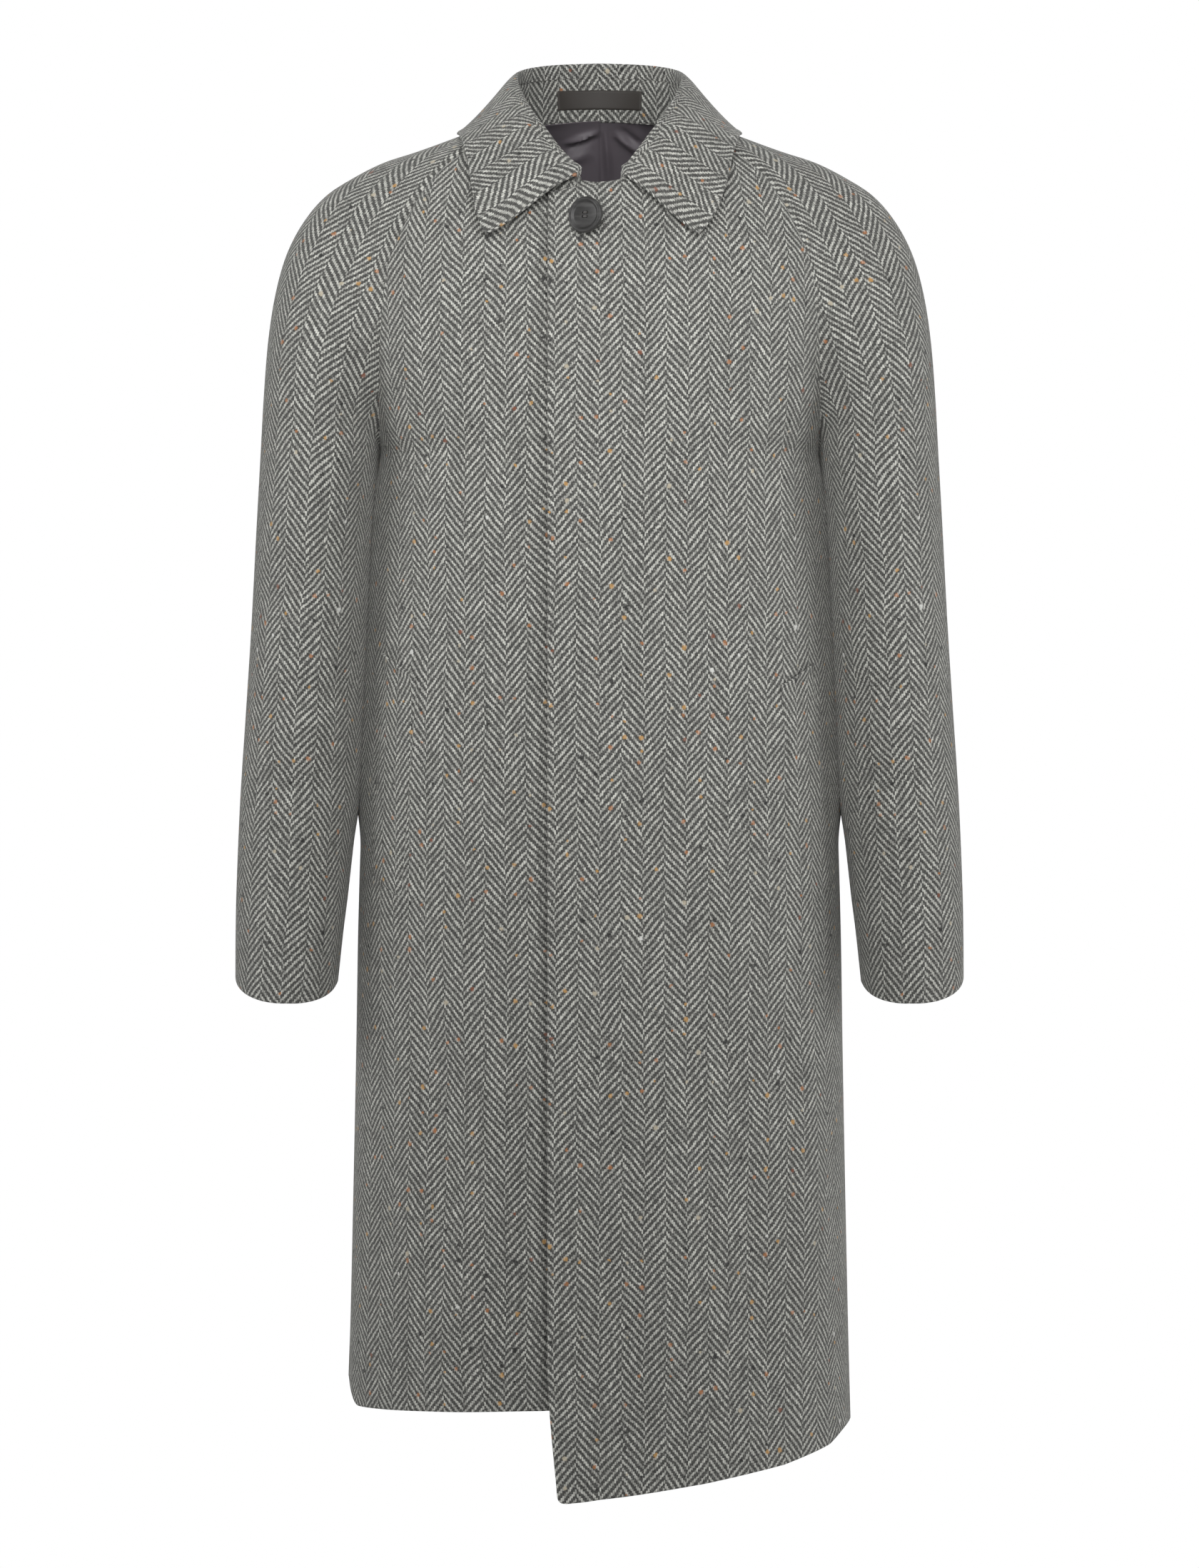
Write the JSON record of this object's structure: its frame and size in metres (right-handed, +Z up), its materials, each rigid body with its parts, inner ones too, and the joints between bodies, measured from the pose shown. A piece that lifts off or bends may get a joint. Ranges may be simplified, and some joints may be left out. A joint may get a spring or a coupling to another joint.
{
  "type": "raglan coat",
  "caption": "Knee-length raglan coat in grey herringbone tweed, with a fold-down collar, a fly front under a throat button and slanted welt pockets, filled out as worn.",
  "frame": {"origin": "middle of the neck opening at the height of the shoulder's neck points, where the wearer carries the coat", "axes": "+Z up along the coat, -Y out of the front, +X towards the wearer's left sleeve"},
  "size_m": [0.558, 0.3015, 1.1019],
  "materials": {
    "tweed": "napped grey herringbone tweed with coloured flecks",
    "lining": "smooth satin",
    "label": "bare woven satin",
    "button": "dark, softly polished, horn-like"
  },
  "bodies": {
    "root": {"front_left": "tweed", "front_right": "tweed", "back": "tweed", "sleeve_left": "tweed", "sleeve_right": "tweed", "collar_stand": "tweed", "collar_leaf": "tweed", "welt_left": "tweed", "welt_right": "tweed", "lining_back": "lining", "label": "label", "button": "button"}
  },
  "joints": []
}
